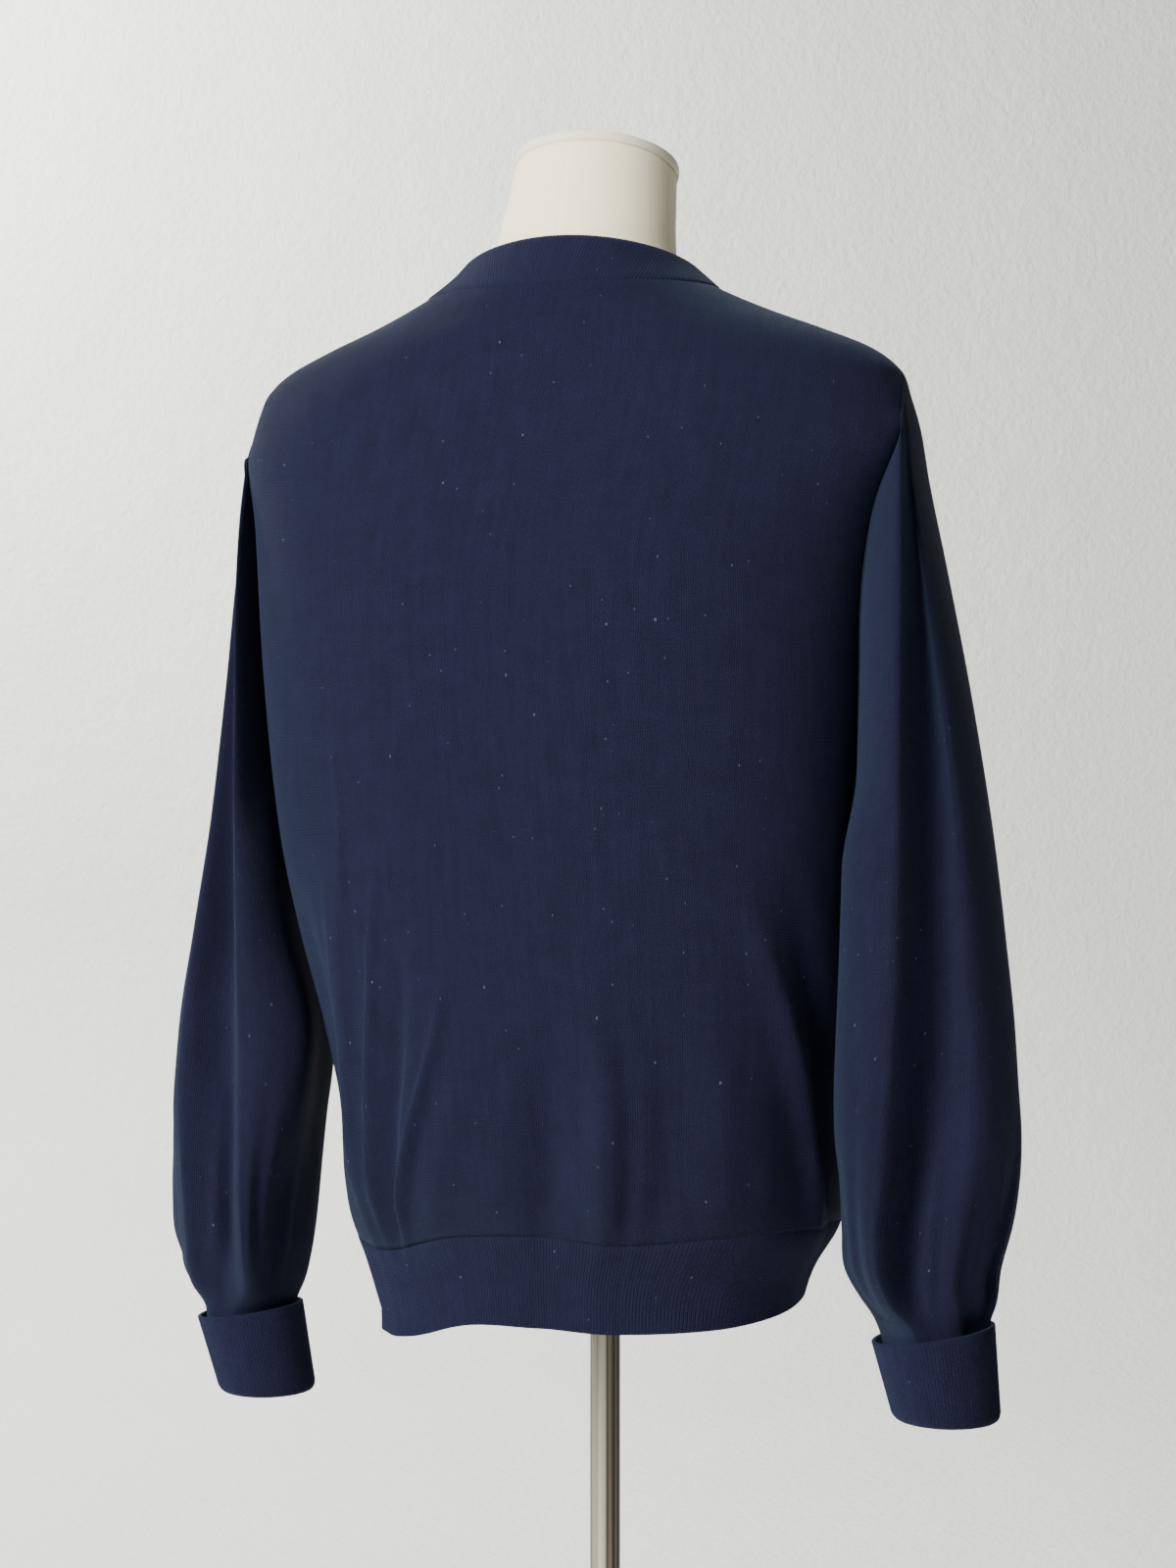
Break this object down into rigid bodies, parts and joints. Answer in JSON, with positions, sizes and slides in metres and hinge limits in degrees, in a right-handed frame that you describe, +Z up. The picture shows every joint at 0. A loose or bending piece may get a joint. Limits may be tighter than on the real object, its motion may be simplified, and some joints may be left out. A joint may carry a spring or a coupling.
{
  "type": "cardigan on a limbless dress form",
  "caption": "Navy fine-knit V-neck cardigan with ribbed bands and turned-back cuffs, worn by a limbless dress form on a steel pole and round base.",
  "frame": {"origin": "centre of the round base's underside, on the floor and on the pole's axis", "axes": "+Z up along the pole, -Y towards the garment's front, +X towards the wearer's left"},
  "size_m": [0.5434, 0.34, 1.5446],
  "materials": {
    "navy_knit": "fuzzy fine stocking-stitch knit",
    "navy_rib": "fine one-by-one rib knit",
    "cream_linen": "tight plain woven cover",
    "cream_cap": "satin painted disc",
    "polished_steel": "polished",
    "dark_button": "semi-gloss"
  },
  "bodies": {
    "root": {"back": "navy_knit", "left_front": "navy_knit", "right_front": "navy_knit", "left_sleeve": "navy_knit", "right_sleeve": "navy_knit", "left_cuff": "navy_rib", "right_cuff": "navy_rib", "hem_band": "navy_rib", "front_band": "navy_rib", "dress_form": "cream_linen", "neck_cap": "cream_cap", "pole": "polished_steel", "base": "polished_steel", "button_1": "dark_button", "button_2": "dark_button", "button_3": "dark_button", "button_4": "dark_button", "button_5": "dark_button", "button_6": "dark_button"}
  },
  "joints": []
}
